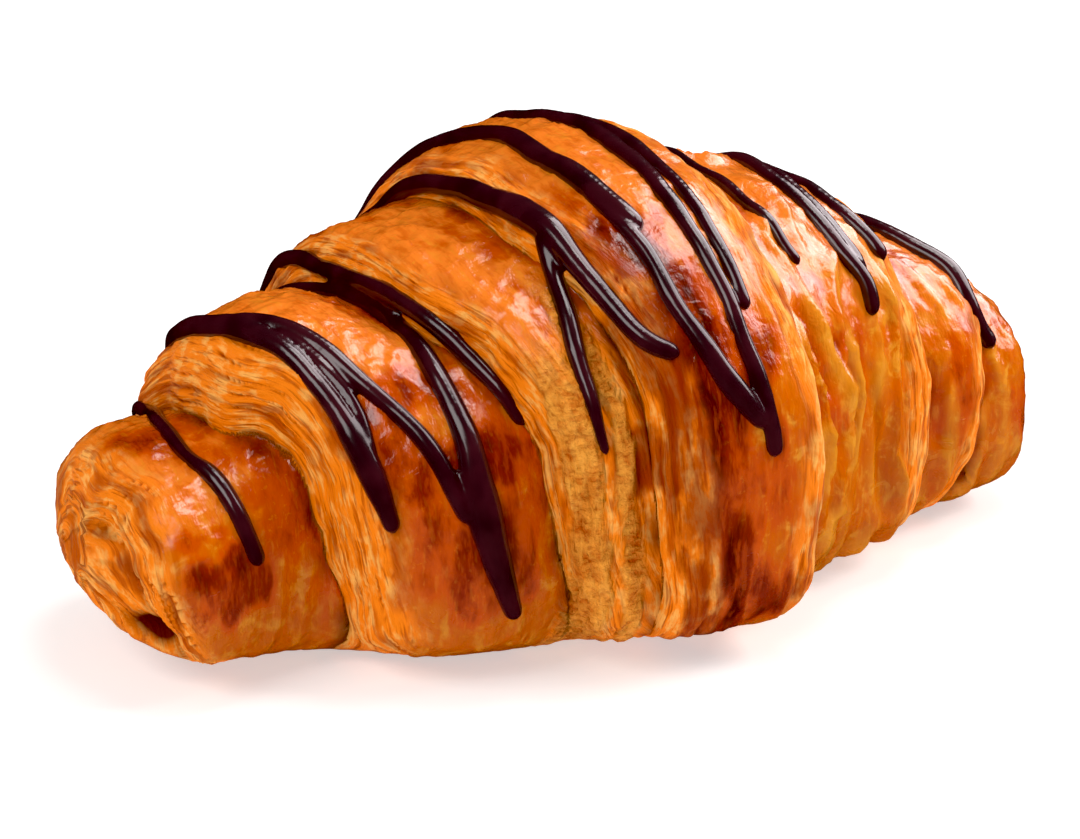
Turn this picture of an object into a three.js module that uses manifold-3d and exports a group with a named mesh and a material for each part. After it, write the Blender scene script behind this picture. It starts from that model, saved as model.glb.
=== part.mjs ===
// A croissant drizzled with chocolate: one rolled, baked body and the chocolate lines that set on it.
// Millimetres, +Z up. The roll's length runs along X, its convex front faces -Y, and it rests on z = 0.
//
// A place on the roll is given by two numbers: how far along the spine (mm from the middle), and how
// far around it (degrees, from 0 at the front over 90 at the top to 180 at the back).
import * as THREE from "three";
import { mergeVertices } from "three/addons/utils/BufferGeometryUtils.js";
import Module from "manifold-3d";

// Driving dimensions of the roll
const HALF_LENGTH = 75;
const BEND = 0.165; // radians that the spine turns between the middle and a tip
const ALONG = [-75, -60, -45, -30, -15, 0, 15, 30, 45, 60, 75];
const HALF_WIDTH = [21.5, 23, 22.5, 34, 39, 45, 42, 31, 25, 24.5, 23];
const TOP_HEIGHT = [31.5, 34.5, 46.5, 50, 57.5, 64, 60.5, 56.5, 47.5, 40, 34.5];
const WIDEST_AT = 0.45; // share of the height at which the roll is widest
const UPPER_ROUNDNESS = 2.2; // superellipse exponents of the upper and the lower half
const LOWER_ROUNDNESS = 3.2;
const LEFT_TIP = { lift: 6.5, roundFrom: 0.83 };
const RIGHT_TIP = { lift: 3.5, roundFrom: 0.88 };
const LIFT_FROM = 0.3; // share of the half length where the underside leaves the tray
const FOOT_DEPTH = 1.2; // how much of the underside the tray pressed flat

// Where the rolled sheet's edge stands along the roll, each quarter turn from the underside: the
// edge winds from the middle out to the tip, so each next four numbers are the next tier's edge.
const LEFT_EDGE = [-9, -8, -15, -17, -15.5, -19.5, -32, -37, -41.5, -45.5, -57.5, -60, -60, -70, -75, -78, -80];
const RIGHT_EDGE = [12, 14.5, 17, 30, 43, 47, 49, 52, 53, 58.5, 67, 72, 75];
const LEFT_STEPS = [
  { height: 1.5, rise: 5 },
  { height: 3.3, rise: 7 },
  { height: 3.4, rise: 8 },
  { height: 1.6, rise: 6 },
];
const RIGHT_STEPS = [
  { height: 3.4, rise: 5 },
  { height: 2.4, rise: 6 },
  { height: 1.6, rise: 6 },
];
const CREASE_FADE = 7; // how far a crease's hollow reaches on to the tier below it
const CREST_FADE = 11; // how far a crest reaches back on to its own tier

// Mesh fineness and the gap between touching solids
const ROWS = 54;
const TIP_ROWS = 6;
const COLUMNS = 36;
const GAP = 0.3;

// The chocolate lines. Lines that run into each other share one piece.
const LINE_SIDES = 6;
const LINE_STEP = 5; // mm of line between two sections
const LINE_LIFT = 0.18; // how far a line's middle stands off the roll, as a share of its width
const DRIZZLE = {
  drizzle_left_tip: [
    { width: 2.6, path: [[-57, 160], [-59, 125], [-60, 95], [-60.5, 65], [-59, 45], [-57, 20], [-54.5, 3]] },
  ],
  drizzle_left_web: [
    { width: 2.8, path: [[-49, 170], [-51.5, 130], [-51, 105], [-48, 85], [-42.5, 40], [-40, 25], [-37.5, 5]] },
    { width: 1.8, path: [[-46.5, 75], [-43.5, 55], [-40.5, 40], [-38.5, 20]] },
    { width: 2.6, path: [[-49, 90], [-43.5, 65], [-39, 50], [-34.5, 30], [-31, 15], [-28.5, 0]] },
    { width: 2.8, path: [[-42, 160], [-37.5, 125], [-34, 95], [-31.5, 60], [-29.5, 25], [-28, 0], [-24.5, -18]] },
    { width: 2.4, path: [[-29, 170], [-31, 130], [-32, 105], [-30.5, 80], [-30, 55]] },
    { width: 2.6, path: [[-33, 110], [-30, 85], [-27, 60], [-24.5, 45], [-22.5, 30]] },
  ],
  drizzle_middle_fork: [
    { width: 3, path: [[-22, 170], [-18, 140], [-15, 110], [-13.5, 90], [-10.5, 68], [-9, 50], [-7, 34], [-4, 28]] },
    { width: 2.2, path: [[-11, 70], [-13.5, 55], [-14.5, 40], [-14, 20], [-14, 10]] },
  ],
  drizzle_crest_web: [
    { width: 3, path: [[-15, 165], [-10.5, 135], [-5, 110], [-3, 90], [-2.5, 70], [-2, 58]] },
    { width: 2.4, path: [[-3, 75], [-3.5, 60], [-2.5, 35], [0, 20], [4, 10]] },
    { width: 2.6, path: [[5, 170], [4.5, 130], [4.5, 95], [4, 75], [3.5, 45], [3.5, 20], [4.5, 6]] },
    { width: 2.4, path: [[5, 140], [9, 110], [7, 90], [5.5, 65], [4.5, 45], [3.5, 34]] },
  ],
  drizzle_right_thin: [
    { width: 2.1, path: [[24, 160], [22.5, 120], [22, 80], [22.5, 62], [23.5, 48]] },
  ],
  drizzle_right_double: [
    { width: 2.7, path: [[29, 165], [31, 130], [32.5, 90], [33, 60], [33.5, 30]] },
    { width: 2.3, path: [[31, 130], [35.5, 95], [35.5, 70], [34.5, 45], [33.5, 32]] },
  ],
  drizzle_right_short: [
    { width: 2.6, path: [[43, 150], [41.5, 115], [41, 70], [42, 50]] },
  ],
  drizzle_right_tip: [
    { width: 3.2, path: [[55, 150], [56, 105], [58, 80], [60, 62], [60, 45], [63, 27]] },
  ],
};

const BREAD = { color: 0xc8681c, roughness: 0.45, metalness: 0 };
const CHOCOLATE = { color: 0x2a1512, roughness: 0.25, metalness: 0 };

const radians = THREE.MathUtils.degToRad;
const clamp = THREE.MathUtils.clamp;

// A smooth curve through the values given at the places, held level past both ends.
function smoothCurve(places, values) {
  const interpolant = new THREE.CubicInterpolant(places, values, 1);
  return (at) => interpolant.evaluate(clamp(at, places[0], places.at(-1)))[0];
}

const halfWidthAt = smoothCurve(ALONG, HALF_WIDTH);
const topHeightAt = smoothCurve(ALONG, TOP_HEIGHT);
const leftEdgeAt = smoothCurve([...LEFT_EDGE.keys()], LEFT_EDGE);
const rightEdgeAt = smoothCurve([...RIGHT_EDGE.keys()], RIGHT_EDGE);

// A cosine or sine pulled out to a superellipse of the given roundness.
function squared(value, roundness) {
  return Math.sign(value) * Math.abs(value) ** (2 / roundness);
}

// The plain roll without its tiers.
function rollPoint(along, around) {
  const share = Math.abs(along) / HALF_LENGTH;
  const tip = along < 0 ? LEFT_TIP : RIGHT_TIP;
  const closing = clamp((share - tip.roundFrom) / (1 - tip.roundFrom), 0, 1);
  const cap = Math.sqrt(1 - closing ** 2);
  const top = topHeightAt(along);
  const underside = tip.lift * clamp((share - LIFT_FROM) / (1 - LIFT_FROM), 0, 1) ** 2;
  const middle = underside + (top - underside) * WIDEST_AT;
  const cos = Math.cos(radians(around));
  const sin = Math.sin(radians(around));
  const roundness = sin >= 0 ? UPPER_ROUNDNESS : LOWER_ROUNDNESS;
  const aside = -halfWidthAt(along) * cap * squared(cos, roundness);
  const reach = sin >= 0 ? top - middle : middle - underside;
  const turn = (BEND * along) / HALF_LENGTH;
  const radius = HALF_LENGTH / BEND;
  return new THREE.Vector3(
    radius * Math.sin(turn) - Math.sin(turn) * aside,
    radius * (1 - Math.cos(turn)) + Math.cos(turn) * aside,
    middle + reach * cap * squared(sin, roundness),
  );
}

function rollNormal(along, around) {
  const near = 0.02;
  const inside = clamp(along, -HALF_LENGTH + near * 2, HALF_LENGTH - near * 2);
  const lengthwise = rollPoint(inside + near, around).sub(rollPoint(inside - near, around));
  const crosswise = rollPoint(inside, around + near).sub(rollPoint(inside, around - near));
  return lengthwise.cross(crosswise).normalize();
}

// One tier's step: a hollow before its edge, a rounded rise over the edge, then a fading crest.
function stepHeight(past, { height, rise }) {
  if (past < 0) return -height * Math.exp(past / CREASE_FADE);
  if (past < rise) return height * (2 * Math.sin((past / rise) * (Math.PI / 2)) - 1);
  return height * Math.exp(-(past - rise) / CREST_FADE);
}

function tierRelief(along, around) {
  const quarters = (around + 90) / 90;
  let relief = 0;
  LEFT_STEPS.forEach((step, tier) => {
    relief += stepHeight(along - leftEdgeAt(quarters + 4 * tier), step);
  });
  RIGHT_STEPS.forEach((step, tier) => {
    relief += stepHeight(rightEdgeAt(quarters + 4 * tier) - along, step);
  });
  const fade = THREE.MathUtils.smoothstep(Math.sin(radians(around)), -0.85, -0.35);
  return relief * fade;
}

// A point on the baked surface, or the given distance outside it.
function surfacePoint(along, around, outside = 0) {
  const lifted = tierRelief(along, around) + outside;
  const point = rollPoint(along, around).addScaledVector(rollNormal(along, around), lifted);
  point.z = Math.max(point.z - FOOT_DEPTH, -outside);
  return point;
}

// The rows' places along the spine, closer together where the tips round off.
function rowPlaces() {
  const places = [];
  const first = -HALF_LENGTH * LEFT_TIP.roundFrom;
  const last = HALF_LENGTH * RIGHT_TIP.roundFrom;
  for (let row = 1; row < TIP_ROWS; row++) {
    places.push(-HALF_LENGTH + (first + HALF_LENGTH) * (1 - Math.cos((row / TIP_ROWS) * (Math.PI / 2))));
  }
  for (let row = 0; row <= ROWS; row++) {
    places.push(first + ((last - first) * row) / ROWS);
  }
  for (let row = TIP_ROWS - 1; row >= 1; row--) {
    places.push(HALF_LENGTH - (HALF_LENGTH - last) * (1 - Math.cos((row / TIP_ROWS) * (Math.PI / 2))));
  }
  return places;
}

function rollGeometry(outside = 0) {
  const places = rowPlaces();
  const leftPole = rollPoint(-HALF_LENGTH, 0).add(new THREE.Vector3(-outside, 0, -FOOT_DEPTH));
  const rightPole = rollPoint(HALF_LENGTH, 0).add(new THREE.Vector3(outside, 0, -FOOT_DEPTH));
  const points = [leftPole];
  for (const along of places) {
    for (let column = 0; column < COLUMNS; column++) {
      points.push(surfacePoint(along, -90 + (column * 360) / COLUMNS, outside));
    }
  }
  points.push(rightPole);
  const vertex = (row, column) => 1 + row * COLUMNS + (column % COLUMNS);
  const faces = [];
  for (let column = 0; column < COLUMNS; column++) {
    faces.push(0, vertex(0, column), vertex(0, column + 1));
    for (let row = 0; row < places.length - 1; row++) {
      const [a, b] = [vertex(row, column), vertex(row, column + 1)];
      const [c, d] = [vertex(row + 1, column), vertex(row + 1, column + 1)];
      faces.push(a, c, d, a, d, b);
    }
    faces.push(points.length - 1, vertex(places.length - 1, column + 1), vertex(places.length - 1, column));
  }
  const geometry = new THREE.BufferGeometry().setFromPoints(points);
  geometry.setIndex(faces);
  return geometry;
}

// A round bead of chocolate along a line on the roll.
function lineGeometry({ width, path }) {
  const guide = new THREE.SplineCurve(path.map(([along, around]) => new THREE.Vector2(along, around)));
  const samples = guide.getPoints(path.length * 4).map(({ x, y }) => surfacePoint(x, y, width * LINE_LIFT));
  const route = new THREE.CatmullRomCurve3(samples);
  const section = new THREE.Shape();
  for (let side = 0; side < LINE_SIDES; side++) {
    const angle = (side * 2 * Math.PI) / LINE_SIDES;
    const corner = [Math.cos(angle) * (width / 2), Math.sin(angle) * (width / 2)];
    if (side === 0) section.moveTo(...corner);
    else section.lineTo(...corner);
  }
  section.closePath();
  const steps = Math.round(route.getLength() / LINE_STEP);
  return new THREE.ExtrudeGeometry(section, { steps, extrudePath: route, bevelEnabled: false });
}

const wasm = await Module();
wasm.setup();

function solidOf(geometry) {
  const bare = geometry.index ? geometry.toNonIndexed() : geometry.clone();
  bare.deleteAttribute("normal");
  bare.deleteAttribute("uv");
  const merged = mergeVertices(bare, 1e-3);
  return new wasm.Manifold(
    new wasm.Mesh({
      numProp: 3,
      vertProperties: merged.attributes.position.array,
      triVerts: new Uint32Array(merged.index.array),
    }),
  );
}

function geometryOf(solid) {
  const mesh = solid.getMesh();
  const geometry = new THREE.BufferGeometry();
  geometry.setAttribute("position", new THREE.BufferAttribute(mesh.vertProperties, 3));
  geometry.setIndex(new THREE.BufferAttribute(mesh.triVerts, 1));
  geometry.computeVertexNormals();
  return geometry;
}

function namedMesh(name, geometry, finish) {
  const mesh = new THREE.Mesh(geometry, new THREE.MeshStandardMaterial(finish));
  mesh.name = name;
  return mesh;
}

const croissant = new THREE.Group();
const roll = rollGeometry();
roll.computeVertexNormals();
croissant.add(namedMesh("croissant", roll, BREAD));

const rollWithGap = solidOf(rollGeometry(GAP));
for (const [name, lines] of Object.entries(DRIZZLE)) {
  const beads = lines.map((line) => solidOf(lineGeometry(line)));
  const joined = beads.reduce((sum, bead) => sum.add(bead));
  croissant.add(namedMesh(name, geometryOf(joined.subtract(rollWithGap)), CHOCOLATE));
}

// The origin is the middle of the whole croissant's footprint.
const box = new THREE.Box3().setFromObject(croissant);
const centre = box.getCenter(new THREE.Vector3());
croissant.position.set(-centre.x, -centre.y, -box.min.z);

export default croissant;
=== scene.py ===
import math

import bpy
import numpy as np
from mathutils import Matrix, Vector, noise


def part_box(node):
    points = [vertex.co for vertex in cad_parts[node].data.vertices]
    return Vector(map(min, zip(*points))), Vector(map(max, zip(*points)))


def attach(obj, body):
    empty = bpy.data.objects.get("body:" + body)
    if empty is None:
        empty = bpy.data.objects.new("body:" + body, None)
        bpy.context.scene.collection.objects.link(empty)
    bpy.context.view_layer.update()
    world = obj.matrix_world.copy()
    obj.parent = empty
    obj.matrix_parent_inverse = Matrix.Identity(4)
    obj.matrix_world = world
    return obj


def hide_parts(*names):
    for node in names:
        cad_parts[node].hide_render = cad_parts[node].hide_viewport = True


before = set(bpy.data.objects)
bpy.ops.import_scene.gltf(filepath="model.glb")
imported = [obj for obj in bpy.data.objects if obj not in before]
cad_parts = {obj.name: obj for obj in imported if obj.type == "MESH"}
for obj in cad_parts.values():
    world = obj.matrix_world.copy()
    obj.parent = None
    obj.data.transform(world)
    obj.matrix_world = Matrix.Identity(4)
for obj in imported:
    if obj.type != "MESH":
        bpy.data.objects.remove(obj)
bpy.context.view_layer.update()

mm = 0.001
scene = bpy.context.scene


def deselectAll():
    if bpy.context.object and bpy.context.object.mode != "OBJECT":
        bpy.ops.object.mode_set(mode="OBJECT")
    bpy.ops.object.select_all(action="DESELECT")


def linear(hexColour):
    parts = [int(hexColour[i:i + 2], 16) / 255 for i in (0, 2, 4)]
    return tuple(p / 12.92 if p <= 0.04045 else ((p + 0.055) / 1.055) ** 2.4 for p in parts) + (1.0,)


# the camera comes before anything is made
cameraSet = {
    "turn": -30.26,        # degrees round the roll, 0 is straight on
    "rise": 21.3,          # degrees above the table
    "distance": 583 * mm,
    "aimHeight": 26.9 * mm,
    "aimAside": 2.6 * mm,  # the roll sits a little right of the frame's middle
    "aimBelow": 4.0 * mm,  # and a little above it
    "lens": 134.7,
    "sensorWidth": 36,
    "clipStart": 0.01,
}


def placeCamera(middle):
    turn, rise = math.radians(cameraSet["turn"]), math.radians(cameraSet["rise"])
    back = Vector((math.sin(turn) * math.cos(rise), -math.cos(turn) * math.cos(rise), math.sin(rise)))
    right = Vector((math.cos(turn), math.sin(turn), 0))
    up = right.cross(-back)
    aim = middle + Vector((0, 0, cameraSet["aimHeight"]))
    aim -= right * cameraSet["aimAside"] + up * cameraSet["aimBelow"]
    bpy.ops.object.camera_add(location=aim + back * cameraSet["distance"])
    camera = bpy.context.object
    camera.rotation_euler = (-back).to_track_quat("-Z", "Y").to_euler()
    camera.data.lens = cameraSet["lens"]
    camera.data.sensor_width = cameraSet["sensorWidth"]
    camera.data.clip_start = cameraSet["clipStart"]
    scene.camera = camera


# the roll's shape, in millimetres along the spine and degrees round it
rollShape = {
    "halfLength": 75,
    "bend": 0.165,          # radians the spine turns from the middle to a tip
    "along": [-75, -60, -45, -30, -15, 0, 15, 30, 45, 60, 75],
    "halfWidth": [21.5, 23, 22.5, 34, 39, 45, 42, 31, 25, 24.5, 23],
    "topHeight": [31.5, 34.5, 46.5, 50, 57.5, 64, 60.5, 56.5, 47.5, 40, 34.5],
    "widestAt": 0.45,       # share of the height
    "upperRoundness": 2.2,  # 2 is an ellipse, more is squarer
    "lowerRoundness": 3.2,
    "leftLift": 6.5,        # mm by which each tip stands off the tray
    "leftRoundFrom": 0.83,  # share of the half length where a tip begins to close
    "rightLift": 3.5,
    "rightRoundFrom": 0.88,
    "liftFrom": 0.3,
    "footDepth": 1.2,       # mm pressed flat by the tray
    "creaseFade": 7,        # mm by which a crease's hollow fades on to the tier below it
    "crestFade": 11,        # mm by which a crest fades on its own tier
    "brow": 2.6,            # how quickly a step rises from its crease
    "raggedWide": 0.55,     # mm by which an edge strays, in long waves
    "raggedFine": 0.22,     # and in short ones
}

# each rolled edge, from the middle of the roll outwards: where it stands at each quarter turn
# (the edge winds on, so four more numbers are the next tier), its step, and its bare dough band
leftEdge = [-9, -8, -15, -17, -15.5, -19.5, -32, -37, -41.5, -45.5, -57.5, -60, -60, -70, -75, -78, -80]
rightEdge = [12, 14.5, 17, 30, 43, 47, 49, 52, 53, 58.5, 67, 72, 75]
leftTiers = [
    {"height": 1.5, "rise": 5, "band": 6.5},
    {"height": 3.3, "rise": 7, "band": 5.5},
    {"height": 3.4, "rise": 8, "band": 9},
    {"height": 1.6, "rise": 6, "band": 7},
]
rightTiers = [
    {"height": 3.4, "rise": 5, "band": 6.5},
    {"height": 2.4, "rise": 6, "band": 8},
    {"height": 1.6, "rise": 6, "band": 5},
]
allTiers = leftTiers + rightTiers


def smoothCurve(places, values, at):
    places, values = np.array(places, float), np.array(values, float)
    at = np.clip(at, places[0], places[-1])
    slopes = np.empty_like(values)
    slopes[1:-1] = (values[2:] - values[:-2]) / (places[2:] - places[:-2])
    slopes[0] = (values[1] - values[0]) / (places[1] - places[0])
    slopes[-1] = (values[-1] - values[-2]) / (places[-1] - places[-2])
    left = np.clip(np.searchsorted(places, at, side="right") - 1, 0, len(places) - 2)
    gap = places[left + 1] - places[left]
    t = (at - places[left]) / gap
    start = (2 * t**3 - 3 * t**2 + 1) * values[left] + (t**3 - 2 * t**2 + t) * gap * slopes[left]
    end = (3 * t**2 - 2 * t**3) * values[left + 1] + (t**3 - t**2) * gap * slopes[left + 1]
    return start + end


def smoothStep(low, high, value):
    t = np.clip((value - low) / (high - low), 0, 1)
    return t * t * (3 - 2 * t)


def squared(value, roundness):
    return np.sign(value) * np.abs(value) ** (2 / roundness)


def rollPoint(along, around):
    s = rollShape
    share = np.abs(along) / s["halfLength"]
    left = along < 0
    roundFrom = np.where(left, s["leftRoundFrom"], s["rightRoundFrom"])
    lift = np.where(left, s["leftLift"], s["rightLift"])
    cap = np.sqrt(1 - np.clip((share - roundFrom) / (1 - roundFrom), 0, 1) ** 2)
    top = smoothCurve(s["along"], s["topHeight"], along)
    underside = lift * np.clip((share - s["liftFrom"]) / (1 - s["liftFrom"]), 0, 1) ** 2
    middle = underside + (top - underside) * s["widestAt"]
    cos, sin = np.cos(np.radians(around)), np.sin(np.radians(around))
    roundness = np.where(sin >= 0, s["upperRoundness"], s["lowerRoundness"])
    aside = -smoothCurve(s["along"], s["halfWidth"], along) * cap * squared(cos, roundness)
    reach = np.where(sin >= 0, top - middle, middle - underside)
    turn = s["bend"] * along / s["halfLength"]
    radius = s["halfLength"] / s["bend"]
    x = radius * np.sin(turn) - np.sin(turn) * aside
    y = radius * (1 - np.cos(turn)) + np.cos(turn) * aside
    return np.stack([x, y, middle + reach * cap * squared(sin, roundness)], -1)


def normalOf(shape, along, around):
    near = 0.05
    inside = np.clip(along, near * 2 - rollShape["halfLength"], rollShape["halfLength"] - near * 2)
    lengthwise = shape(inside + near, around) - shape(inside - near, around)
    crosswise = shape(inside, around + near) - shape(inside, around - near)
    normal = np.cross(lengthwise, crosswise)
    return normal / np.maximum(np.linalg.norm(normal, axis=-1, keepdims=True), 1e-9)


def pastEdges(along, around):  # how far each place is past each rolled edge, towards the middle
    quarters = (around + 90) % 360 / 90
    turn = np.radians(around)
    ragged = rollShape["raggedWide"] * np.sin(5 * turn + 1.3)
    ragged = ragged + rollShape["raggedFine"] * np.sin(11 * turn + 0.4)
    past = []
    for tier in range(len(leftTiers)):
        past.append(along - smoothCurve(range(len(leftEdge)), leftEdge, quarters + 4 * tier) + ragged)
    for tier in range(len(rightTiers)):
        past.append(smoothCurve(range(len(rightEdge)), rightEdge, quarters + 4 * tier) - along + ragged)
    return past


def stepHeight(past, tier):
    before = -np.exp(np.minimum(past, 0) / rollShape["creaseFade"])
    rise = np.clip(past / tier["rise"], 0, 1)
    over = 1 - 2 * (1 - rise) ** rollShape["brow"]
    after = np.exp(-np.maximum(past - tier["rise"], 0) / rollShape["crestFade"])
    return tier["height"] * np.where(past < 0, before, np.where(rise < 1, over, after))


def undersideFade(around):
    return smoothStep(-0.85, -0.35, np.sin(np.radians(around)))


def tierPoint(along, around):
    relief = sum(stepHeight(past, tier) for past, tier in zip(pastEdges(along, around), allTiers))
    tipFade = smoothStep(1, 0.95, np.abs(along) / rollShape["halfLength"])
    relief = (relief * undersideFade(around) * tipFade)[..., None]
    return rollPoint(along, around) + normalOf(rollPoint, along, around) * relief


def grain(points, size, seed=0.0):  # smooth noise between -1 and 1, size in mm
    return np.array([noise.noise(p) for p in (points / size + seed * 7.13).tolist()])


def onTray(points):
    points[..., 2] = np.maximum(points[..., 2] - rollShape["footDepth"], 0)
    return points


# where the whole roll stands in the frame: the CAD roll's box against the same shape here
def frameShift():
    half = rollShape["halfLength"]
    along, around = np.meshgrid(np.linspace(-half, half, 301), np.arange(-90, 270, 5.0))
    points = onTray(tierPoint(along, around)).reshape(-1, 3)
    low, high = (np.array(corner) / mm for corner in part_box("croissant"))
    shift = (low + high) / 2 - (points.min(0) + points.max(0)) / 2
    return np.array([shift[0], shift[1], 0])


shift = frameShift()
placeCamera(Vector(shift * mm))
print("camera placed, shift", shift.round(2))


# the baked croissant
farAway = 999  # mm, where no rolled edge has been reached
crust = {
    "columns": 204,
    "rings": 480,
    "capShare": 0.07,       # share of the rings that round off each tip
    "undersideStretch": 20,  # degrees: fewer columns below, more on top
    "crowding": 2.0,        # how much the rings crowd together on a steep edge
    "crowdCentre": 1.0,     # mm past the edge
    "crowdReach": 2.0,
    "sheetWidth": 2.3,      # mm between two bare dough sheets
    "sheetDepth": 0.75,     # the heights below are in mm too
    "spiralPitch": 2.7,     # mm between the turns seen on a tip
    "leftSpiral": 6.5,      # mm from a tip's middle to the rim of its spiral
    "rightSpiral": 13.5,
    "lumpHeight": 0.5,
    "foldHeight": 1.7,
    "crumpleHeight": 0.24,
    "blisterHeight": 0.2,
    "dentShare": 0.6,       # share of each dent's depth that is left
    "usualRadius": 34,      # mm from the spine to the crust
    "pleatGap": 5.8,        # mm between the pleats on the right of the middle
    "pleatHeight": 1.25,
}

# darkest bakes: place along, place around, reach in mm, strength
toastSpots = [
    (-63, 25, 5, 0.7), (-61, 10, 7, 1.0), (-59, -2, 6, 0.8), (-62.5, 86, 7, 0.6), (-55, 30, 5, 0.35),
    (-40, 31, 7, 0.75), (-38, 20, 6, 0.8), (-34, 44, 5, 0.6), (-33, 0, 5, 0.55), (-29, 4, 7, 0.9),
    (-27, 22, 7, 0.85), (-25, 42, 5, 0.5), (-27, -8, 6, 0.6), (-15, 60, 3, 0.5), (-6, 45, 5, 0.75),
    (-6, 30, 6, 0.95), (-6, 12, 6, 0.95), (-5, -4, 6, 0.7), (-2, 12, 6, 0.75), (1, 26, 6, 0.7),
    (2, 4, 5, 0.6), (-3, 58, 4, 0.5), (4, -19, 6, 0.85), (-2, -22, 6, 0.6), (20, 6, 5, 0.4),
    (25, 22, 6, 0.45), (24, 40, 5, 0.35), (51, 27, 5, 0.45), (52, 13, 5, 0.45), (49, 0, 5, 0.3),
    (56, 34, 5, 0.4), (66, 4, 6, 0.5), (68, 40, 6, 0.4), (-30, 140, 14, 0.7), (-4, 150, 12, 0.8),
    (30, 145, 12, 0.7), (-62, 140, 10, 0.7), (58, 150, 9, 0.7), (-14, 200, 8, 0.5), (12, 205, 9, 0.5),
]
# sunk or pinched places: along, around, half length across, half length round the roll, depth in mm
dents = [
    (-68.6, -29, 2.4, 7, 3.8), (-73, 10, 1.1, 3, 0.8), (-24, 68, 1.1, 3.5, 0.7), (-44, 56, 1.2, 3, 0.7),
    (-42, 46, 0.9, 2.4, 0.6), (-50, 36, 1.1, 5, 0.6), (-52.5, 20, 1.0, 4, 0.4), (40.5, 22, 0.8, 3, 0.6),
    (27, 10, 1.2, 9, 0.7), (21, 24, 1.2, 7, 0.7), (33, 2, 1.2, 8, 0.8), (-13, 28, 1.0, 7, 0.8),
    (-11, 8, 0.9, 6, 0.7), (52, -4, 1.1, 6, 0.6), (-12, 160, 1.2, 6, 0.7), (30, 170, 1.2, 8, 0.7),
]


def ringPlaces(share):  # 0 at the left tip, 1 at the right
    s = rollShape
    cap = crust["capShare"]
    leftCap = s["halfLength"] * (1 - s["leftRoundFrom"])
    rightCap = s["halfLength"] * (1 - s["rightRoundFrom"])
    start, end = -s["halfLength"] + leftCap, s["halfLength"] - rightCap
    onLeft = -s["halfLength"] + leftCap * (1 - np.cos(np.clip(share / cap, 0, 1) * math.pi / 2))
    onRight = s["halfLength"] - rightCap * (1 - np.cos(np.clip((1 - share) / cap, 0, 1) * math.pi / 2))
    between = start + (end - start) * (share - cap) / (1 - 2 * cap)
    return np.where(share < cap, onLeft, np.where(share > 1 - cap, onRight, between))


def gatherRings(share, around):  # rings crowd together on each tier's steep edge
    fine = np.linspace(0, 1, 701)
    places = ringPlaces(fine)
    columns, inverse = np.unique(np.round(around, 3) % 360, return_inverse=True)
    along = np.empty(len(share))
    for column, degrees in enumerate(columns):
        past = np.array(pastEdges(places, np.full(len(places), degrees)))
        crowd = np.exp(-((past - crust["crowdCentre"]) / crust["crowdReach"]) ** 2).sum(0)
        weight = 1 + crust["crowding"] * crowd * undersideFade(degrees) * (np.abs(places) < 70)
        total = np.concatenate([[0], np.cumsum((weight[1:] + weight[:-1]) / 2)])
        mine = inverse == column
        along[mine] = ringPlaces(np.interp(share[mine], total / total[-1], fine))
    return along


def arcBetween(around, place):  # mm round the roll, near enough
    return np.radians((around - place + 180) % 360 - 180) * crust["usualRadius"]


def rollBack(points, cross, along, size, seed):  # wrinkled grain, drawn out round the roll
    return grain(points / np.array([along, cross, cross]), size, seed)


def tornStrips(along, around, points, edge):  # narrow strips in front where the dough sheets tore open
    before = edge + 1.1 * grain(points, 6, 23) + 0.7 * rollBack(points, 1.6, 1.0, 2.4, 38)
    wide = smoothStep(-11, -9.8, before) * smoothStep(-5.7, -6.4, before) * smoothStep(48, 30, around)
    narrow = smoothStep(-4.7, -4.1, before) * smoothStep(-1.6, -2.3, before) * smoothStep(66, 45, around)
    opened = smoothStep(-80, -55, around) * (along < 0)
    torn = np.maximum(wide, narrow) * opened
    split = smoothStep(-12, -10.5, before) * smoothStep(1, 0, edge) * smoothStep(52, 34, around) * opened
    cells = np.abs(grain(points, 1.9, 6)) + 0.6 * np.abs(grain(points, 1.1, 17))
    tornFold = rollBack(points, 3.5, 1.0, 3.0, 18)
    return torn, split, torn * (0.9 * (0.4 - cells) + 0.9 * (0.35 - np.abs(tornFold)))


def glazedSkin(along, points):  # the folds, crumples and blisters of the shiny crust
    warped = points + 1.6 * np.stack([grain(points, 9, 11), grain(points, 9, 12), grain(points, 9, 13)], -1)
    fold = 1 - np.abs(rollBack(warped, 3.2, 1.0, 5.4, 9)) * 2.6
    fold = np.clip(fold, -0.5, 1)
    foldy = 0.25 + 0.75 * smoothStep(14, 20, along) * smoothStep(64, 56, along)
    foldy *= smoothStep(-0.3, 0.25, grain(points, 13, 10))
    folds = crust["foldHeight"] * foldy * np.sign(fold) * np.abs(fold) ** 1.6
    crumple = 1 - np.abs(grain(warped, 3.6, 19)) * 2.8
    crumple = np.clip(crumple, -0.6, 1) * smoothStep(-0.3, 0.2, grain(points, 8, 20))
    crumple += 0.5 * np.clip(1 - np.abs(grain(warped, 1.9, 25)) * 3, -0.5, 1)
    blister = np.clip(grain(warped, 2.3, 14) - 0.18, 0, 1) * 2.6
    return folds + crust["crumpleHeight"] * crumple + crust["blisterHeight"] * blister


def pleats(along, around, points):  # the gathers right of the middle: their crests, and where they are
    swing = 4.5 * rollBack(points, 1.8, 1.0, 10, 31) + 1.4 * rollBack(points, 2.0, 1.0, 4, 32)
    crest = (0.5 + 0.5 * np.cos(2 * math.pi * (along + swing - 17) / crust["pleatGap"])) ** 2.2
    pleated = smoothStep(13, 17, along) * smoothStep(72, 62, along) * smoothStep(72, 48, around)
    pleated *= smoothStep(-72, -45, around) * smoothStep(-0.35, 0.2, grain(points, 8, 33))
    pleated *= 1 - 0.5 * smoothStep(42, 48, along)
    return crest, pleated


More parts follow.
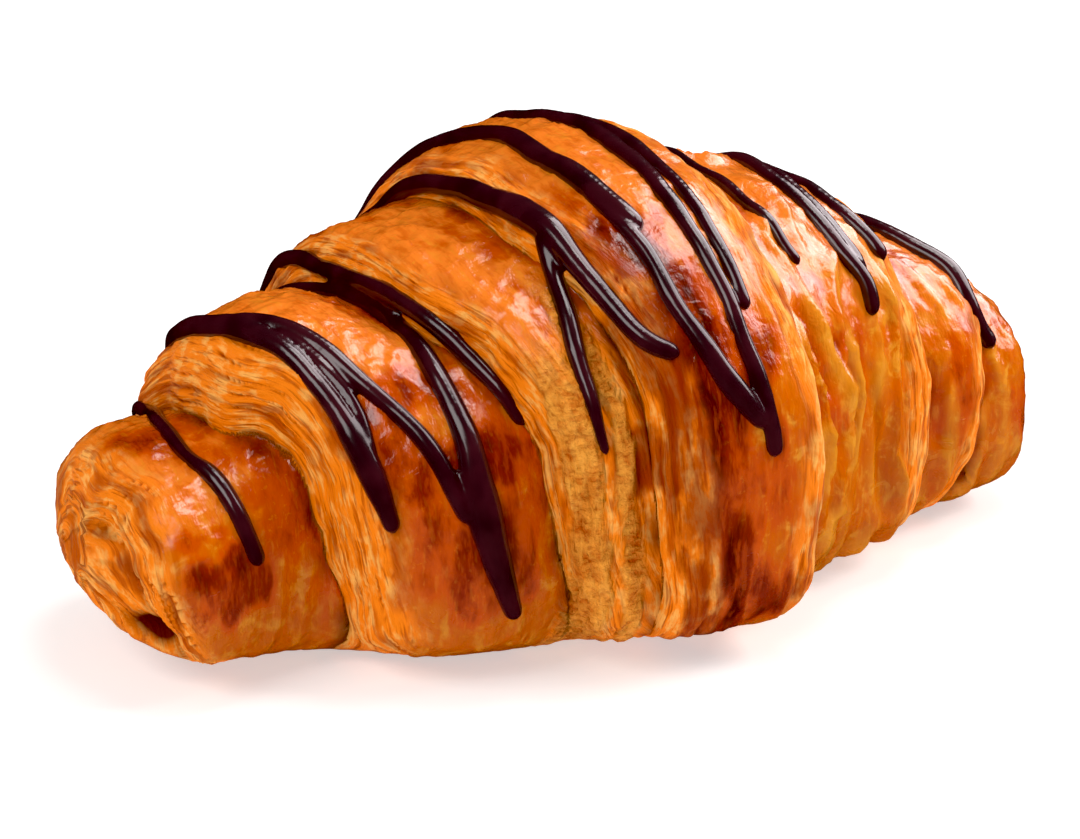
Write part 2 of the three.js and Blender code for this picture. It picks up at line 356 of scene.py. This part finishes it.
def sunkPlaces(along, around):
    sunk = np.zeros(len(along))
    for dentAlong, dentAround, across, length, depth in dents:
        bent = dentAlong + 0.02 * arcBetween(around, dentAround) ** 2 / 3
        gap = ((along - bent) / across) ** 2 + (arcBetween(around, dentAround) / length) ** 2
        sunk = np.maximum(sunk, crust["dentShare"] * depth * np.exp(-gap))
    return sunk


def browningAndShade(along, around, points, up, layer, ahead, nearest):  # 0 is pale, 1 is the darkest bake; painted shade before each crease is added in too
    toastAndShade = np.zeros(len(along))
    wander = 5 * grain(points, 9, 15) + 3.5 * rollBack(points, 3.0, 1.0, 2.6, 22)
    for spotAlong, spotAround, reach, strength in toastSpots:
        distance = np.hypot(along - spotAlong, arcBetween(around, spotAround)) + wander
        toastAndShade = np.maximum(toastAndShade, strength * (1 - smoothStep(0.2 * reach, 1.6 * reach, distance)))

    # the edge left of the middle is scorched, and a tier gets painted shade, darker before the next one's
    # crease
    scorched = (nearest == 0) * smoothStep(0.3, 2.5, layer) * smoothStep(-75, -45, around)
    scorched *= smoothStep(15, 8, layer) * smoothStep(82, 55, around)
    scorched *= 0.85 + 0.6 * rollBack(points, 5.0, 1.0, 2.2, 37)
    toastAndShade = np.maximum(toastAndShade, np.clip(0.95 * scorched, 0, 1.1))
    # painted shade: darker towards the foot of each step, where shade falls into the crease
    creaseHollowShade = np.exp(-ahead / 4.5) * (0.6 + 0.9 * rollBack(points, 3.0, 1.0, 3.0, 34))
    return np.maximum(toastAndShade, np.clip(0.8 * creaseHollowShade * smoothStep(-0.6, 0.1, up), 0, 0.7))


def bakedRelief(along, around, points):
    up = np.sin(np.radians(around))
    nearTip = smoothStep(66, 71, np.abs(along))
    above = nearTip * smoothStep(1, 6, points[:, 2]) + (1 - nearTip) * smoothStep(-0.95, -0.5, up)
    past = np.array(pastEdges(along, around))
    widths, rises, heights = (np.array([t[key] for t in allTiers]) for key in ("band", "rise", "height"))
    reached = np.where(past > 0, past, farAway)
    nearest = reached.argmin(0)
    layer = reached.min(0)
    ahead = np.where(past < 0, -past, farAway).min(0)

    # the two ends show the roll's spiral
    side = np.where(along < 0, -1.0, 1.0)
    pole = rollPoint(side * rollShape["halfLength"], around)
    fromPole = np.hypot(points[:, 1] - pole[:, 1], points[:, 2] - pole[:, 2])
    onEnd = np.abs(along) > 55
    wrapped = (past[3] < 0) & onEnd
    face = np.where(wrapped, 1.0, smoothStep(8, 5, fromPole)) * (along < 0) * onEnd
    wobbly = fromPole + 2 * grain(points, 6, 36)
    face = np.maximum(face, 0.8 * smoothStep(11, 8, wobbly) * (along > 0) * onEnd)
    layer = np.where(wrapped, -past[3], layer)

    # each rolled edge shows a band of bare dough sheets
    waver = 0.8 * grain(points, 16, 1) + 0.3 * grain(points, 6, 2)
    bandWidth = widths[nearest] * (1 + 0.35 * grain(points, 11, 3))
    band = 1 - smoothStep(0.7, 1.15, layer / bandWidth + 0.2 * grain(points, 3.5, 4))
    band = np.maximum(band, face) * np.maximum(nearTip * above, smoothStep(-0.97, -0.7, up))
    climb = np.clip(layer / rises[nearest], 0, 1)
    climb = 2 * ~wrapped * heights[nearest] * (1 - (1 - climb) ** rollShape["brow"])
    turns = (layer + 0.85 * climb * undersideFade(around) + waver) / crust["sheetWidth"]
    spiral = fromPole / crust["spiralPitch"] + around / 360 + 0.12 * waver
    spiralReach = np.where(along < 0, crust["leftSpiral"], crust["rightSpiral"])
    onSpiral = onEnd & (fromPole < spiralReach) & ((along > 0) | (face > 0.5))
    seam = np.where(onEnd & (fromPole < 16), smoothStep(0, 1.8, np.abs(fromPole - spiralReach)), 1)
    rim = (1 - smoothStep(0.6, 1.6, np.abs(fromPole - spiralReach))) * onEnd * (along > 0)
    band *= 1 - rim
    phase = np.where(onSpiral, spiral, turns)
    bold = 0.6 + 1.3 * rollBack(points, 3.0, 1.0, 3.0, 5)
    bold = np.clip(np.where(onSpiral, 0.9, bold), 0.08, 1.5)
    ridge = np.abs(np.sin(math.pi * phase)) ** 0.7
    ridge = 0.6 + (ridge - 0.6) * seam
    sheets = crust["sheetDepth"] * bold * (ridge - 0.6)
    sheets += 0.42 * rollBack(points, 2.2, 1.0, 1.5, 16) + 0.3 * rollBack(points, 3.5, 1.0, 3.4, 24)

    torn, split, tornRelief = tornStrips(along, around, points, past[0])
    band = np.maximum(band, split)
    glaze = (1 - band) * (1 - torn)
    crest, pleated = pleats(along, around, points)
    skin = glazedSkin(along, points) + crust["pleatHeight"] * (crest - 0.35) * pleated
    lumps = crust["lumpHeight"] * (grain(points, 14, 7) + 0.5 * grain(points, 7, 8))
    sunk = sunkPlaces(along, around)
    relief = lumps + sheets * band + tornRelief + skin * glaze - sunk
    relief *= 0.25 + 0.75 * above

    # painted shade: the crust is darkened in a thin line in front of each rolled edge, right at the edge,
    # and in the dents
    crease = 0.7 * np.exp(-(ahead / 1.3) ** 2) + 0.3 * np.exp(-(layer / 0.6) ** 2) * (face < 0.5)
    crease *= 0.4 + 0.8 * grain(points, 5, 21)
    crease = np.clip(np.maximum(crease, sunk * 0.75 - 0.1), 0, 1)
    lip = smoothStep(3.8, 2.0, reached.min(0) + 1.2 * grain(points, 3, 35)) * (nearest == len(leftTiers))
    lip *= smoothStep(100, 70, around)
    marks = {
        "pleat": crest * pleated * glaze,
        "lip": lip * band * smoothStep(-0.6, 0, up),
        "band": band,
        "layer": phase * crust["sheetWidth"],
        # real bake spots and scorch, with the painted crease shade added in
        "toastAndShade": browningAndShade(along, around, points, up, layer, ahead, nearest),
        "torn": torn,
        "ridge": 1 - (1 - ridge) * np.clip(bold, 0, 1) * seam,
        "creviceShade": crease,
        "skin": skin + 0.5 * lumps,
        "height": points[:, 2],
        "upward": up,
    }
    return relief, marks


def makeCroissant():
    deselectAll()
    bpy.ops.mesh.primitive_uv_sphere_add(segments=crust["columns"], ring_count=crust["rings"], radius=1)
    roll = bpy.context.object
    roll.name = "bakedRoll"
    count = len(roll.data.vertices)
    ball = np.empty(count * 3)
    roll.data.vertices.foreach_get("co", ball)
    ball = ball.reshape(-1, 3)
    share = 1 - np.arccos(np.clip(ball[:, 2], -1, 1)) / math.pi
    turned = np.degrees(np.arctan2(ball[:, 1], ball[:, 0]))
    fromBelow = (270 - turned) % 360
    around = fromBelow - 90 + crust["undersideStretch"] * np.sin(np.radians(fromBelow))
    furthest = rollShape["halfLength"] - 0.001
    along = np.clip(gatherRings(share, around), -furthest, furthest)
    points = tierPoint(along, around)
    normals = normalOf(tierPoint, along, around)
    relief, marks = bakedRelief(along, around, points)
    poles = np.abs(ball[:, 2]) > 1 - 1e-9
    points = onTray(points + normals * relief[:, None])
    for pole in np.flatnonzero(poles):  # the very tips follow the ring round them
        near = np.abs(share - share[pole]) < 1.5 / crust["rings"]
        near[pole] = False
        points[pole] = points[near].mean(0)
    roll.data.vertices.foreach_set("co", ((points + shift) * mm).ravel())
    for name, values in marks.items():
        layer = roll.data.attributes.new(name, "FLOAT", "POINT")
        layer.data.foreach_set("value", values.astype(np.float32))
    roll.data.update()
    bpy.ops.object.shade_smooth()
    return roll


# the chocolate; lines that run into each other are one piece
drizzle = {
    "voxel": 0.3,   # mm
    "spacing": 0.7,  # mm between points of a line
    "sink": 0.02,    # share of the width by which a line's middle stands off the crust
    "wobble": 0.35,  # mm
    "bridging": 14,  # smoothing turns that carry a line over the creases
}
drizzleLines = {  # each point: along, around, width in mm
    "drizzle_left_tip": [
        [(-57, 160, 2), (-59.5, 125, 2.4), (-61, 95, 2.5), (-60.5, 64, 2.2), (-59, 55, 2.7),
         (-57.5, 35, 2.7), (-55, 4, 2.7)],
    ],
    "drizzle_left_web": [
        [(-49, 170, 2.2), (-51.5, 130, 2.8), (-50.5, 105, 3.4), (-48, 83, 3.6), (-46, 65, 3),
         (-42.5, 41, 3), (-40, 25, 3.8), (-37.5, 5, 2.6)],
        [(-45.5, 73, 2), (-43, 57, 2), (-40.5, 43, 1.8), (-39, 22, 2.4)],
        [(-48.5, 90, 3), (-44, 72, 3), (-39.5, 50, 2.9), (-34, 31, 2.8), (-31.5, 15, 3), (-30, 7, 3.4)],
        [(-42, 160, 2.2), (-37.5, 125, 2.6), (-33, 95, 2.7), (-31, 75, 3), (-30.5, 50, 3.3),
         (-29.5, 30, 3.6), (-29, 12, 5.2), (-28, 1, 4.4), (-26.5, -8, 3.4), (-25, -18, 2.5)],
        [(-29, 170, 2.2), (-31, 130, 2.6), (-31.5, 105, 3), (-31, 85, 2.8), (-30.5, 70, 2.6)],
        [(-32, 112, 2.4), (-31, 92, 2.8), (-28.5, 70, 2.9), (-25.5, 50, 2.9), (-22.5, 28, 2.3)],
    ],
    "drizzle_middle_fork": [
        [(-22, 170, 2.2), (-18, 140, 2.8), (-14.5, 115, 3), (-13, 91, 3.4), (-10.5, 69, 4.4),
         (-10, 56, 3.4), (-8.5, 42, 3), (-7, 34, 3), (-4, 29, 2.5)],
        [(-11, 68, 3.4), (-13, 56, 2.8), (-14.5, 38, 2.8), (-14.5, 25, 2.2), (-14, 14, 1.4)],
    ],
    "drizzle_crest_web": [
        [(-15, 165, 2.2), (-10, 135, 2.8), (-6, 118, 3), (-3.5, 102, 3.2), (-4, 85, 3.4), (-3, 68, 3.6),
         (-2, 57, 2.8)],
        [(-4, 72, 2.4), (-3, 55, 2.5), (-2.5, 38, 2.8), (-1, 27, 3.2), (0.5, 20, 3.6), (3.5, 12, 2.7)],
        [(5, 170, 2.2), (5, 130, 2.8), (5, 90, 3), (4, 72, 2.9), (3, 55, 2.6), (3, 38, 2.5), (3.5, 20, 2.9),
         (4.5, 6, 2.7)],
        [(5, 140, 2.2), (8, 110, 2.4), (7.5, 85, 2.5), (6.5, 68, 2.2), (5.5, 55, 2.2), (5, 35, 2)],
    ],
    "drizzle_right_thin": [
        [(24, 160, 1.8), (23.5, 120, 2), (23.5, 85, 2.1), (22.5, 68, 2), (23, 55, 2.1), (24, 47, 2.2)],
    ],
    "drizzle_right_double": [
        [(29, 165, 2), (31, 130, 2.5), (32.5, 90, 2.7), (33, 60, 2.9), (33.5, 29, 2.6)],
        [(31, 130, 2), (35, 98, 2.2), (35, 70, 2.3), (34.5, 50, 2.4), (34, 35, 2.4)],
    ],
    "drizzle_right_short": [
        [(43, 150, 2), (41.5, 115, 2.5), (41, 70, 2.8), (42, 50, 2.6)],
    ],
    "drizzle_right_tip": [
        [(55, 150, 2.2), (56, 105, 2.8), (58, 80, 3.2), (60, 62, 3.3), (60, 45, 3.2), (63, 27, 2.8)],
    ],
}


def layLine(path, seed):
    path = np.array(path, float)
    marks = np.arange(len(path))
    fine = np.linspace(0, len(path) - 1, 400)
    along, around, width = (smoothCurve(marks, path[:, part], fine) for part in range(3))
    rough = tierPoint(along, around)
    length = np.concatenate([[0], np.cumsum(np.linalg.norm(np.diff(rough, axis=0), axis=1))])
    even = np.linspace(0, length[-1], int(length[-1] / drizzle["spacing"]))
    along, around, width = (np.interp(even, length, values) for values in (along, around, width))
    flat = np.stack([even, 0 * even, 0 * even], -1)
    along = along + drizzle["wobble"] * grain(flat, 7, seed + 0.5)
    crustPoints = tierPoint(along, around)
    outward = normalOf(rollPoint, along, around)
    relief = bakedRelief(along, around, crustPoints)[0]
    points = crustPoints + outward * (relief + width * drizzle["sink"])[:, None]
    for turn in range(drizzle["bridging"]):  # thick chocolate bridges the creases
        points[1:-1] = (points[:-2] + 2 * points[1:-1] + points[2:]) / 4
    points[:, 2] -= rollShape["footDepth"]
    radius = width / 2 * (1 + 0.1 * grain(flat, 6, seed + 3.1) + 0.03 * grain(flat, 2.8, seed + 5.7))
    fromEnd = np.minimum(even, even[-1] - even)
    radius *= np.sqrt(np.clip(1 - (1 - np.clip(fromEnd / (width * 0.6), 0, 1)) ** 2, 0.04, 1))

    deselectAll()
    bpy.ops.curve.primitive_nurbs_path_add()
    line = bpy.context.object
    line.data.splines.clear()
    spline = line.data.splines.new("POLY")
    spline.points.add(len(points) - 1)
    placed = np.concatenate([(points + shift) * mm, np.ones((len(points), 1))], 1)
    spline.points.foreach_set("co", placed.ravel())
    spline.points.foreach_set("radius", radius)
    line.data.bevel_depth = mm
    line.data.bevel_resolution = 3
    line.data.use_fill_caps = True
    deselectAll()
    line.select_set(True)
    bpy.context.view_layer.objects.active = line
    bpy.ops.object.convert(target="MESH")
    return bpy.context.object


def applyModifier(piece, kind, **settings):
    modifier = piece.modifiers.new(kind.lower(), kind)
    for key, value in settings.items():
        setattr(modifier, key, value)
    bpy.context.view_layer.objects.active = piece
    bpy.ops.object.modifier_apply(modifier=modifier.name)


def makeDrizzle(name, lines, seed):
    beads = [layLine(path, seed + index) for index, path in enumerate(lines)]
    deselectAll()
    for bead in beads:
        bead.select_set(True)
    bpy.context.view_layer.objects.active = beads[0]
    if len(beads) > 1:
        bpy.ops.object.join()
    piece = bpy.context.view_layer.objects.active
    piece.name = name + "_set"
    piece.data.transform(piece.matrix_world)
    piece.matrix_world.identity()
    applyModifier(piece, "REMESH", mode="VOXEL", voxel_size=drizzle["voxel"] * mm)
    applyModifier(piece, "SMOOTH", factor=0.5, iterations=8)
    bpy.ops.object.shade_smooth()
    return piece


# one socket in a material's node tree
class Wire:
    def __init__(self, tree, socket=None):
        self.tree, self.socket = tree, socket

    def make(self, kind, settings=None, inputs=None, output=0):
        node = self.tree.nodes.new("ShaderNode" + kind)
        for key, value in (settings or {}).items():
            setattr(node, key, value)
        for key, value in (inputs or {}).items():
            if isinstance(value, Wire):
                self.tree.links.new(value.socket, node.inputs[key])
            else:
                node.inputs[key].default_value = value
        return Wire(self.tree, node.outputs[output])

    def maths(self, operation, first, second, clamp=False):
        return self.make("Math", {"operation": operation, "use_clamp": clamp}, {0: first, 1: second})

    def __add__(self, other):
        return self.maths("ADD", self, other)

    def __sub__(self, other):
        return self.maths("SUBTRACT", self, other)

    def __rsub__(self, other):
        return self.maths("SUBTRACT", other, self)

    def __mul__(self, other):
        return self.maths("MULTIPLY", self, other)

    __radd__ = __add__
    __rmul__ = __mul__

    def within(self):
        return self.maths("ADD", self, 0.0, clamp=True)

    def size(self):
        return self.make("Math", {"operation": "ABSOLUTE"}, {0: self})

    def ramp(self, low, high):  # 0 at low, 1 at high
        return self.make("MapRange", {"interpolation_type": "SMOOTHSTEP"}, {0: self, 1: low, 2: high})

    def blend(self, first, second):  # the wire is the share of the second colour
        inputs = {0: self, 6: first, 7: second}
        return self.make("Mix", {"data_type": "RGBA"}, inputs, 2)

    def scaled(self, scale):
        return self.make("VectorMath", {"operation": "MULTIPLY"}, {0: self, 1: scale})

    def plus(self, other):  # adds two vectors
        return self.make("VectorMath", {"operation": "ADD"}, {0: self, 1: other})

    def cloud(self, sizeMm, detail=2.0, rough=0.5, warp=0.0):
        inputs = {"Vector": self, "Scale": 1 / (sizeMm * mm), "Detail": detail, "Roughness": rough,
                  "Distortion": warp}
        return self.make("TexNoise", None, inputs)


def newMaterial(name):
    material = bpy.data.materials.new(name)
    material.use_nodes = True
    shader = material.node_tree.nodes["Principled BSDF"]
    return material, shader, Wire(material.node_tree)


def plug(shader, **inputs):
    for key, value in inputs.items():
        socket = shader.inputs[key.replace("_", " ")]
        if isinstance(value, Wire):
            value.tree.links.new(value.socket, socket)
        else:
            socket.default_value = value


crustColours = {
    "straw": "e2962a",
    "amber": "cc6006",
    "copper": "c44c08",
    "russet": "862003",
    "burnt": "4e0c02",
    "crown": "ee7c28",
    "sheetPale": "fabb62",
    "sheetOrange": "f4801a",
    # a deep dough tone, also used as painted shade in the grooves between the sheets
    "sheetDeepAndShade": "962e04",
    "lowBrown": "b85a0c",
    # deep brown painted as shade in the creases and dents
    "crease": "560f02",
    "tornPale": "ffaa44",
    "tornDeep": "b24608",
    "underside": "8a4614",
    "lip": "ffd47c",
}


def crustMaterial():
    material, shader, start = newMaterial("bakedCrust")
    tone = {name: linear(value) for name, value in crustColours.items()}

    def mark(name):
        return start.make("Attribute", {"attribute_name": name}, None, 2)

    place = start.make("TexCoord", None, None, 3)
    band, layer, ridge, toastAndShade, torn = (mark(n) for n in ("band", "layer", "ridge", "toastAndShade", "torn"))
    crease, skin, height, upward = (mark(n) for n in ("creviceShade", "skin", "height", "upward"))
    pleat, lip = mark("pleat"), mark("lip")

    big = place.cloud(12, 3, 0.55)
    mottle = place.cloud(4.0, 4, 0.62, 0.6)
    drawn = place.scaled((1, 0.35, 0.35)).cloud(2.4, 4, 0.6, 0.3)
    speck = place.cloud(1.0, 3, 0.6)
    strokes = place.scaled((1, 0.22, 0.22)).cloud(0.9, 3, 0.6, 0.2)

    crown = upward.ramp(0.2, 0.95).blend(tone["amber"], tone["crown"])
    pale = mottle.ramp(0.5, 0.66) * (1.1 - upward.ramp(0.3, 0.95))
    crown = (pale * 0.75).blend(crown, tone["straw"])
    crown = (height.ramp(34, 6) * 0.4).blend(crown, tone["lowBrown"])
    # the darkness of the bake, with painted shade: before each crease through the toast mark, darker in the
    # fold valleys and paler on the pleat crests
    heatAndShade = toastAndShade * (0.45 + drawn * 1.0) + (big - 0.5) * 0.9 + (drawn - 0.5) * 0.5
    heatAndShade = heatAndShade - skin * 0.2 - pleat * 0.3 + 0.04
    crown = heatAndShade.ramp(0.1, 0.4).blend(crown, tone["copper"])
    crown = heatAndShade.ramp(0.38, 0.78).blend(crown, tone["russet"])
    crown = heatAndShade.ramp(0.75, 1.2).blend(crown, tone["burnt"])
    crown = (strokes.ramp(0.5, 0.66) * 0.4).blend(crown, tone["copper"])
    crown = (strokes.ramp(0.46, 0.32) * (1.0 - toastAndShade) * 0.3).within().blend(crown, tone["straw"])
    crown = (speck.ramp(0.6, 0.74) * (1.0 - toastAndShade) * 0.45).blend(crown, tone["straw"])
    # the pleat crests are painted a paler straw, as painted light against their shaded valleys
    crown = (pleat * (0.35 + mottle * 0.8)).within().blend(crown, tone["straw"])

    across = start.make("CombineXYZ", None, {0: layer * mm})
    grooves = across.plus(place.scaled((0, 0.22, 0.22)))
    longGrooves = across.plus(place.scaled((0, 0.09, 0.09)))
    threads = longGrooves.cloud(0.6, 2, 0.55)
    strands = grooves.cloud(0.95, 3, 0.6)
    stripes = grooves.cloud(2.8, 2, 0.5)
    flakes = (strands * 0.6 + mottle * 0.4).ramp(0.47, 0.6) * (0.35 + speck * 0.7)
    dough = flakes.within().blend(tone["sheetOrange"], tone["sheetPale"])
    dough = (stripes.ramp(0.5, 0.34) * 0.7).blend(dough, tone["sheetDeepAndShade"])
    # painted shade: the fine threads and the grooves between the sheets are darkened
    dough = (threads.ramp(0.47, 0.33) * 0.6).blend(dough, tone["sheetDeepAndShade"])
    dough = (ridge.ramp(0.65, 0.05) * 0.85).blend(dough, tone["sheetDeepAndShade"])
    dough = (heatAndShade.ramp(0.4, 0.9) * (1.0 - ridge * 0.3)).blend(dough, tone["russet"])
    crumbs = place.scaled((0.8, 1, 1.6)).cloud(1.5, 4, 0.65, 0.5)
    tornLight = crumbs.ramp(0.3, 0.62) * 0.6 + drawn.ramp(0.35, 0.6) * 0.45 + (mottle - 0.5) * 0.9
    tornTone = tornLight.blend(tone["tornDeep"], tone["tornPale"])
    dough = (lip * 0.6).blend(dough, tone["lip"])
    colour = band.blend(crown, dough)
    colour = (torn * 0.85).blend(colour, tornTone)
    # painted shade: the creases and dents are darkened to a deep brown
    colour = (crease * 1.3).within().blend(colour, tone["crease"])
    sole = (mottle.ramp(0.35, 0.7) * 0.7).blend(tone["underside"], tone["lowBrown"])
    colour = height.ramp(3.0, 0.6).blend(colour, sole)

    dry = band.maths("MAXIMUM", band, torn)
    rough = 0.22 + height.ramp(24, 8) * 0.08 + (mottle - 0.5) * 0.2
    crinkle = (place.cloud(3.0, 2, 0.5, 0.6) - 0.5).size().ramp(0.0, 0.25)
    wrinkle = (crinkle * 0.07 + place.cloud(4.2, 2, 0.5) * 0.4) * (1.0 - dry)
    wrinkle = wrinkle + drawn * 0.25 + speck * 0.07 + strokes * 0.1
    wrinkle = wrinkle + dry * (strands * 0.5 + threads * 0.45) + torn * crumbs * 1.3
    bump = start.make("Bump", None, {"Strength": 1.0, "Distance": mm, "Height": wrinkle})
    plug(shader, Base_Color=colour, Roughness=rough, Normal=bump)
    plug(shader, IOR=1.42, Coat_Weight=0.35, Coat_Roughness=0.12, Coat_IOR=1.4)
    matte = start.make("BsdfPrincipled", None, {"Base Color": colour, "Roughness": 0.7, "Normal": bump,
                                                "Specular IOR Level": 0.1})
    glazed = Wire(material.node_tree, shader.outputs[0])
    both = dry.make("MixShader", None, {0: dry, 1: glazed, 2: matte})
    material.node_tree.links.new(both.socket, material.node_tree.nodes["Material Output"].inputs[0])
    return material


def chocolateMaterial():
    material, shader, start = newMaterial("darkChocolate")
    place = start.make("TexCoord", None, None, 3)
    cloud = place.cloud(6, 2)
    colour = cloud.ramp(0.3, 0.7).blend(linear("3a1720"), linear("261019"))
    bump = start.make("Bump", None, {"Strength": 0.6, "Distance": mm, "Height": place.cloud(4.0, 1) * 0.15})
    plug(shader, Base_Color=colour, Roughness=0.12 + cloud * 0.1, Normal=bump)
    plug(shader, IOR=1.45)
    return material


# everything is made from here on
roll = makeCroissant()
roll.data.materials.append(crustMaterial())
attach(roll, "root")
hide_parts("croissant")
print("croissant baked", len(roll.data.vertices), "points")

chocolate = chocolateMaterial()
for seed, (name, lines) in enumerate(drizzleLines.items()):
    piece = makeDrizzle(name, lines, seed * 10.0)
    piece.data.materials.clear()
    piece.data.materials.append(chocolate)
    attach(piece, "root")
    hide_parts(name)
    print(name, len(piece.data.polygons), "faces")

# floor and light
studio = {
    "floorSize": 12.0,
    "floorColour": (0.65, 0.65, 0.65, 1),
    "floorGlow": 0.5,
    "worldColour": (1.0, 0.98, 0.97, 1),
    "worldStrength": 0.28,
    "shadowTone": (0.003, 0.007, 0.009),  # warmth of the deepest tones
    # name, degrees round from straight in front, degrees up, distance, width, height, watts, colour
    "lights": [
        ("windowGleam", 98, 40, 1.5, 1.5, 1.4, 46.0, (1.0, 0.92, 0.94)),  # seen in the glaze only
        ("keySoft", 68, 38, 1.5, 0.7, 0.6, 18.0, (1.0, 0.96, 0.92)),  # lights the crust, not the glaze
        ("softboxLeft", -78, 44, 1.5, 0.9, 0.7, 12.0, (1.0, 0.98, 0.96)),
        ("softboxOver", 110, 76, 1.6, 0.5, 0.5, 8.0, (1.0, 0.97, 0.95)),
    ],
}


def makeStudio():
    deselectAll()
    bpy.ops.mesh.primitive_plane_add(size=studio["floorSize"])
    floor = bpy.context.object
    floor.name = "paleFloor"
    floor.visible_glossy = False  # keeps the glaze deep, with no white sheen from below
    material, shader, start = newMaterial("palePaper")
    place = start.make("TexCoord", None, None, 3)
    plug(shader, Base_Color=studio["floorColour"], Roughness=0.8 + place.cloud(3, 2) * 0.1)
    plug(shader, Emission_Color=(1, 1, 1, 1), Emission_Strength=studio["floorGlow"])
    floor.data.materials.append(material)
    for name, turn, rise, distance, width, height, watts, colour in studio["lights"]:
        turn, rise = math.radians(turn), math.radians(rise)
        level = math.cos(rise)
        towards = Vector((math.sin(turn) * level, -math.cos(turn) * level, math.sin(rise)))
        bpy.ops.object.light_add(type="AREA", location=towards * distance + Vector((0, 0, 0.03)))
        light = bpy.context.object
        light.name = name
        light.rotation_euler = towards.to_track_quat("Z", "Y").to_euler()
        light.data.shape = "RECTANGLE"
        light.data.size = width
        light.data.size_y = height
        light.data.energy = watts
        light.data.color = colour
        light.visible_diffuse = not name.endswith("Gleam")
        light.visible_glossy = name != "keySoft"
    world = bpy.data.worlds.new("whiteRoom")
    scene.world = world
    world.use_nodes = True
    background = world.node_tree.nodes["Background"]
    background.inputs["Color"].default_value = studio["worldColour"]
    background.inputs["Strength"].default_value = studio["worldStrength"]
    world.cycles_visibility.glossy = False
    scene.view_settings.view_transform = "Standard"
    scene.view_settings.use_curve_mapping = True
    curves = scene.view_settings.curve_mapping
    curves.black_level = studio["shadowTone"]
    curves.update()


makeStudio()
print("studio set")
